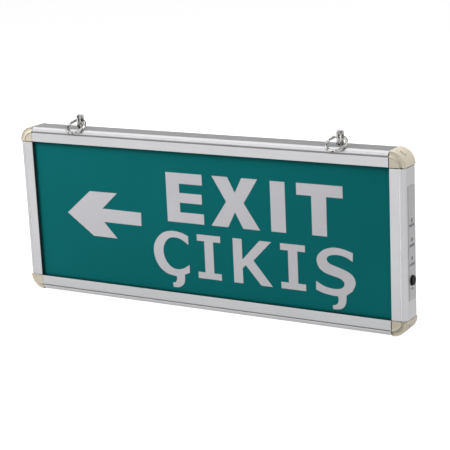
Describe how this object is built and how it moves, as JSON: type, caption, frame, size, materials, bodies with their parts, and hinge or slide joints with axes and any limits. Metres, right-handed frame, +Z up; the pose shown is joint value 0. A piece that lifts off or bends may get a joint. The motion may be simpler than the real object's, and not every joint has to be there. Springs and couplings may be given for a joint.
{
  "type": "emergency exit light",
  "caption": "Slim hanging emergency exit sign: satin aluminium frame, cream moulded corners, green panel with arrow and exit legend, test button and lamps on one end, hanging rings on top.",
  "frame": {"origin": "centre of the bottom rail's underside, the face it stands on", "axes": "+X along the sign towards the end with the test button, +Y from the front panel to the back, +Z up"},
  "size_m": [0.3585, 0.0256, 0.154],
  "materials": {
    "rail_aluminium": "satin silver anodised extrusion",
    "corner_plastic": "cream moulded plastic",
    "green_panel": "dark green printed acrylic with pale legend",
    "gasket_foam": "black foam",
    "clear_acrylic": "clear polished acrylic",
    "white_film": "white reflecting film",
    "rear_plastic": "pale grey moulded sheet",
    "circuit_board": "green circuit board",
    "white_board": "white circuit board",
    "foam_tape": "white adhesive foam tape",
    "led_package": "pale yellow phosphor in white package",
    "lead_cover": "red and black insulated leads",
    "screw_steel": "zinc plated steel",
    "ferrite": "dark grey ferrite",
    "winding_tape": "yellow winding tape",
    "film_case": "dark red box",
    "can_sleeve": "dark blue sleeve",
    "black_moulding": "black moulded plastic",
    "terminal_plastic": "green moulded block",
    "cell_case": "blue sleeved cells",
    "nickel_tab": "nickel strip",
    "tray_plastic": "white moulded plastic",
    "lamp_lens": "dark unlit lens",
    "button_black": "black moulded plastic",
    "label_foil": "silver grey foil label",
    "grommet_rubber": "black rubber",
    "hanger_chrome": "bright plated pressed steel",
    "ring_chrome": "bright plated wire"
  },
  "bodies": {
    "sign": {"top_rail": "rail_aluminium", "bottom_rail": "rail_aluminium", "left_rail": "rail_aluminium", "right_rail": "rail_aluminium", "corner_top_left": "corner_plastic", "corner_top_right": "corner_plastic", "corner_bottom_left": "corner_plastic", "corner_bottom_right": "corner_plastic", "front_gasket": "gasket_foam", "front_panel": "green_panel", "light_guide": "clear_acrylic", "reflector_sheet": "white_film", "rear_panel": "rear_plastic", "led_strip": "white_board", "strip_tape": "foam_tape", "strip_leds": "led_package", "strip_leads": "lead_cover", "driver_board": "circuit_board", "board_screws": "screw_steel", "transformer_core": "ferrite", "transformer_coil": "winding_tape", "film_capacitor": "film_case", "electrolytic_capacitors": "can_sleeve", "rectifier_diodes": "black_moulding", "control_chip": "black_moulding", "terminal_block": "terminal_plastic", "terminal_screws": "screw_steel", "battery_cells": "cell_case", "cell_links": "nickel_tab", "battery_tray": "tray_plastic", "battery_leads": "lead_cover", "indicator_leds": "lamp_lens", "test_switch": "black_moulding", "side_label": "label_foil", "cable_grommet": "grommet_rubber", "hanger_left": "hanger_chrome", "hanger_right": "hanger_chrome", "hanger_screws": "screw_steel"},
    "left_hanging_ring": {"ring_left": "ring_chrome"},
    "right_hanging_ring": {"ring_right": "ring_chrome"},
    "button": {"test_button": "button_black"}
  },
  "joints": [
    {"name": "ring_left_swing", "type": "hinge", "parent": "sign", "child": "left_hanging_ring", "pos_m": [-0.1205, 0, 0.1495], "axis": [-1, 0, 0], "range_deg": [0, 245.4]},
    {"name": "ring_right_swing", "type": "hinge", "parent": "sign", "child": "right_hanging_ring", "pos_m": [0.1205, 0, 0.1495], "axis": [-1, 0, 0], "range_deg": [0, 245.4]},
    {"name": "test_button_press", "type": "slide", "parent": "sign", "child": "button", "axis": [-1, 0, 0], "range_m": [0, 0.0012], "stiffness_N_per_m": 400, "springref_m": -0.003}
  ]
}
